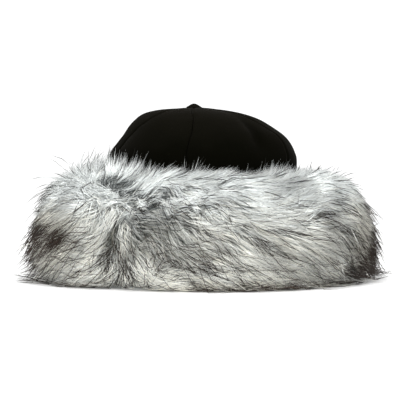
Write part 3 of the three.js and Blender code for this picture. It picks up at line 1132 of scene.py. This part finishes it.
def grow_clumps(rng, pile, locks):
    """Clumps, each held by the lock whose root is nearest."""
    tree = KDTree(LOCKS)
    for i, place in enumerate(unrolled(locks["angle"], locks["share"])):
        tree.insert(place, i)
    tree.balance()
    angle, share = spread_roots(rng, CLUMPS)
    lock = np.array([tree.find(place)[1] for place in unrolled(angle, share)])
    row = STRANDS["clump"]
    beside = np.exp(-((from_divide(angle, share) / DIVIDE_HALF) ** 2))
    mess = row["turn"] + DIVIDE_MESS * beside
    clumps = {
        "angle": angle,
        "share": share,
        "turn": locks["turn"][lock] + mess * rng.normal(size=CLUMPS),
        "long": locks["long"][lock] * rng.uniform(*row["long"], CLUMPS),
        "high": locks["high"][lock] * rng.uniform(*row["high"], CLUMPS),
        "tone": locks["tone"][lock],
    }
    paths = strand_paths(pile, clumps, SOFT_STIFFNESS)
    drawn = LOCK_PULL * STEPS[None, :, None] ** 1.2
    clumps["paths"] = paths * (1 - drawn) + locks["paths"][lock] * drawn
    return clumps


def grow_hairs(rng, pile, clumps):
    """Soft hairs, which stand in clumps, and guard hairs, which go their own way over
    them. Most guard hairs grow where the fur is dark."""
    own = np.repeat(np.arange(CLUMPS), HAIRS_IN_CLUMP)
    weight = 0.3 + find_places(clumps["paths"][:, 2], DARK_PLACES, "dark")
    chosen = rng.choice(CLUMPS, GUARD_HAIRS, p=weight / weight.sum())
    own = np.concatenate([own, chosen])
    count = len(own)
    guard = np.arange(count) >= count - GUARD_HAIRS
    row = STRANDS["hair"]
    spread = rng.normal(size=(2, count)) * CLUMP_RADIUS * np.where(guard, 2, 1)
    angle = clumps["angle"][own] + spread[0] / PILE_RADIUS
    share = np.clip(clumps["share"][own] + spread[1] / SECTION_LENGTH, 0.01, 0.9)
    long = clumps["long"][own] * rng.uniform(*row["long"], count)
    long = long * np.where(guard, GUARD_LONGER, 1)
    high = clumps["high"][own] * rng.uniform(*row["high"], count)

    # Some guard hairs stand off as wisps, most at the sides and farthest at the left.
    side = np.abs(np.sin(angle)) ** 3
    wisp = guard & (rng.uniform(0, 1, count) < 0.12 + 0.15 * side)
    high = high * np.where(guard, rng.uniform(*GUARD_HIGHER, count), 1)
    farther = 0.5 * smooth_step(share, 0.1, 0.3) + 0.8 * side * (share < 0.3)
    left = side * (np.sin(angle) < 0)
    highest = 1.4 + (0.5 + 0.6 * left) * smooth_step(share, 0.08, 0.16)
    high = np.minimum(high * np.where(wisp, 1.1 + farther, 1), highest)
    hairs = {
        "own": own,
        "guard": guard,
        "angle": angle,
        "share": share,
        "turn": clumps["turn"][own] + row["turn"] * rng.normal(size=count),
        "long": long,
        "high": high,
        "tone": clumps["tone"][own],
    }
    stiffness = np.where(wisp, WISP_STIFFNESS, rng.uniform(*GUARD_STIFFNESS, count))
    stiffness = np.where(guard, stiffness, SOFT_STIFFNESS)
    stiffness = stiffness * (0.3 + 0.7 * smooth_step(share, 0.08, 0.2))
    stiffness = stiffness * (1 - 0.9 * (1 - side) * smooth_step(share, 0.25, 0.4))
    paths = strand_paths(pile, hairs, stiffness)

    # A clump draws its soft hairs together, most where they curl.
    u = STEPS[None, :, None]
    curly = curl_turn(angle, share) / CURLIEST
    held = 0.15 + 0.25 * smooth_step(share, 0.05, 0.2) + 0.42 * curly
    drawn = u * np.where(guard, 0.05, held)[:, None, None]
    scatter = SCATTER * rng.normal(size=(count, 1, 3)) * u
    paths = paths * (1 - drawn) + (clumps["paths"][own] + scatter) * drawn
    droop = DROOP * np.where(guard, long, 0) * usual_length(angle, share)
    droop = droop * smooth_step(share, 0.12, 0.3) * (1 - smooth_step(share, 0.5, 0.7))
    paths[..., 2] -= droop[:, None] * STEPS**2
    layer = FLOOR_LAYER * rng.uniform(0, 1, count) ** 1.5
    stray = np.where(guard, STRAY * rng.uniform(0, 1, count) ** 4, 0)
    hairs["stray"] = stray
    hairs["paths"] = keep_clear(paths, rng.uniform(*SPLAY, count) + stray, layer)
    soft_width = rng.uniform(*SOFT_WIDTH, count) * MM
    guard_width = rng.uniform(*GUARD_WIDTH, count) * MM
    hairs["width"] = np.where(guard, guard_width, soft_width)
    return hairs


def strew_places(rng):
    """The dark places in front, and others over the back."""
    places = list(DARK_PLACES)
    for _ in range(BACK_PLACES):
        places.append({key: rng.uniform(*row) for key, row in BACK_LIMITS.items()})
    return places


def meet_places(paths, places):
    """How dark it is where each hair runs, and how far along it comes in there."""
    here = np.zeros(len(paths))
    entry = np.full(len(paths), 1.0)
    for along in (1.0, 0.8, 0.6, 0.4):
        at = along * (STATIONS - 1)
        low = min(int(at), STATIONS - 2)
        part = paths[:, low] * (low + 1 - at) + paths[:, low + 1] * (at - low)
        found = find_places(part, places, "dark")
        here = np.maximum(here, found)
        entry = np.where(found > 0.3, along, entry)
    return here, entry


def tone_hairs(rng, hairs, places):
    """How far each hair's tip is dark, and how light and how warm the hair is, each
    from 0 to 1."""
    guard, angle, paths = hairs["guard"], hairs["angle"], hairs["paths"]
    count = len(guard)
    clump_chance = rng.uniform(0, 1, CLUMPS)[hairs["own"]]
    chance = 0.4 * clump_chance + 0.6 * rng.uniform(0, 1, count)
    here, entry = meet_places(paths, places)
    here = here * np.where(guard, 1.2, 0.6)
    dark = np.where(chance < 0.95 * here, np.clip((1.2 - entry) / 0.8, 0, 1), 0)
    faint = rng.uniform(0, 1, count) < 0.1
    dark = np.where(faint, np.maximum(dark, rng.uniform(0.25, 0.6, count)), dark)
    # Guard hairs have dark tips, but few where they meet the floor or on the rim.
    tip = paths[:, -1, 2]
    foot = 1 - smooth_step(tip / (value_round(angle, FOOT) * MM), 0.2, 1)
    pale = 0.72 * foot + 0.5 * smooth_step(tip, 85 * MM, 110 * MM)
    pale = pale * (1 - smooth_step(hairs["stray"], 0.3, 1))
    tipped = rng.uniform(0.55, 1, count) * (rng.uniform(0, 1, count) > pale)
    dark = np.where(guard, np.maximum(dark, tipped), dark)

    part = paths[:, STATIONS - 2]
    height = part[:, 2]
    upper = smooth_step(height, 35 * MM, 100 * MM)
    low = 1 - smooth_step(height, 4 * MM, 34 * MM)
    # Painted light: hairs high up at the right are paler, as if lit there.
    painted_light_top_right = smooth_step(height, 75 * MM, 100 * MM)
    painted_light_top_right = painted_light_top_right * smooth_step(np.sin(angle), 0.4, 0.7)
    # Greyer hairs in the grey places: partly the fur's own grey, partly painted shade in
    # the fur's openings.
    grey_and_shade = find_places(part, places, "grey_and_shade") * smooth_step(hairs["share"], 0.07, 0.15)
    own_tone = LIGHT["lock"] * hairs["tone"] + LIGHT["hair"] * rng.normal(size=count)
    side = np.abs(np.sin(angle)) ** 3
    light = LIGHT["plain"] + LIGHT["side"] * side + LIGHT["upper"] * upper + own_tone
    # Painted light: soft hairs are paler low down and at their ends near the floor, as if
    # lit by the bright floor.
    soft = LIGHT["painted_low_light"] * low + LIGHT["painted_foot_light"] * foot
    light = light + np.where(guard, LIGHT["guard"], soft)
    light = light + LIGHT["painted_light_top_right"] * painted_light_top_right + LIGHT["grey_and_shade_place"] * grey_and_shade
    brown = find_places(part, BROWN_PLACES, "brown")
    warm = 0.65 * (1 - upper) + brown + 0.2 * rng.normal(size=count)
    return dark, np.clip(light, 0, 1), np.clip(warm, 0, 1)


def make_hair(material):
    rng = np.random.default_rng(SEED)
    pile = Pile(rng)
    clumps = grow_clumps(rng, pile, grow_locks(rng, pile))
    hairs = grow_hairs(rng, pile, clumps)
    dark, light, warm = tone_hairs(rng, hairs, strew_places(rng))
    kinds = np.round(dark * (DARK_STEPS - 1)) * LIGHT_STEPS
    kinds = (kinds + np.round(light * (LIGHT_STEPS - 1))) * WARM_STEPS
    kinds = kinds + np.round(warm * (WARM_STEPS - 1))
    # Pale guard hairs are finer.
    guard = hairs["guard"]
    width = hairs["width"] * np.where(guard & (dark < 0.3), 0.5, 1)
    widths = width[:, None] * np.where(guard[:, None], GUARD_TAPER, TAPER)
    sector = np.floor((hairs["angle"] / (2 * math.pi) % 1) * PELTS).astype(int)
    for title, sort, stations in (
        ("fur_hair", ~guard, SOFT_STATIONS),
        ("fur_guard_hair", guard, GUARD_STATIONS),
    ):
        for number in range(PELTS):
            chosen = np.flatnonzero(sort & (sector == number))[:, None]
            mesh = hair_mesh(
                f"{title}_{number + 1}",
                hairs["paths"][chosen, stations],
                widths[chosen, stations],
                kinds[chosen[:, 0]],
                STEPS[list(stations)],
            )
            finish_piece(mesh.name, mesh, material, "fur")


# Floor and light
FLOOR_RADIUS = 40
FLOOR_SEGMENTS = 64


def make_stage():
    material = new_material("pale_floor", "#fefefe", 0.95, Specular_IOR_Level=0.0)[0]
    shape = bmesh.new()
    bmesh.ops.create_circle(
        shape, cap_ends=True, segments=FLOOR_SEGMENTS, radius=FLOOR_RADIUS
    )
    mesh = bpy.data.meshes.new("floor")
    shape.to_mesh(mesh)
    shape.free()
    mesh.materials.append(material)
    floor = bpy.data.objects.new("floor", mesh)
    bpy.context.scene.collection.objects.link(floor)


LAMPS = (
    {"name": "key", "at": (-0.4, -1.3, 1.9), "size": 1.2, "power": 16},
    {"name": "fill", "at": (1.6, -1.0, 0.9), "size": 1.8, "power": 7},
    {"name": "front", "at": (0.2, -2.6, 0.12), "size": 1.8, "power": 92},
)
LAMP_AIM = (0, 0, 0.08)
SKY_STRENGTH = 1.15


def make_light():
    for row in LAMPS:
        data = bpy.data.lights.new(row["name"], "AREA")
        data.shape = "DISK"
        data.size = row["size"]
        data.energy = row["power"]
        lamp = bpy.data.objects.new(row["name"], data)
        lamp.location = row["at"]
        aim = Vector(LAMP_AIM) - Vector(row["at"])
        lamp.rotation_euler = aim.to_track_quat("-Z", "Y").to_euler()
        bpy.context.scene.collection.objects.link(lamp)
    world = bpy.data.worlds.new("studio")
    world.use_nodes = True
    sky = world.node_tree.nodes["Background"]
    sky.inputs["Color"].default_value = linear("#ffffff")
    sky.inputs["Strength"].default_value = SKY_STRENGTH
    bpy.context.scene.world = world
    bpy.context.scene.view_settings.view_transform = "Standard"


place_camera()
suede = suede_material()
for panel_number in range(len(SEAMS)):
    make_panel(panel_number, suede)
make_button(suede)
make_band(twill_material())
make_underwool(wool_material())
make_hair(fur_material())
make_stage()
make_light()
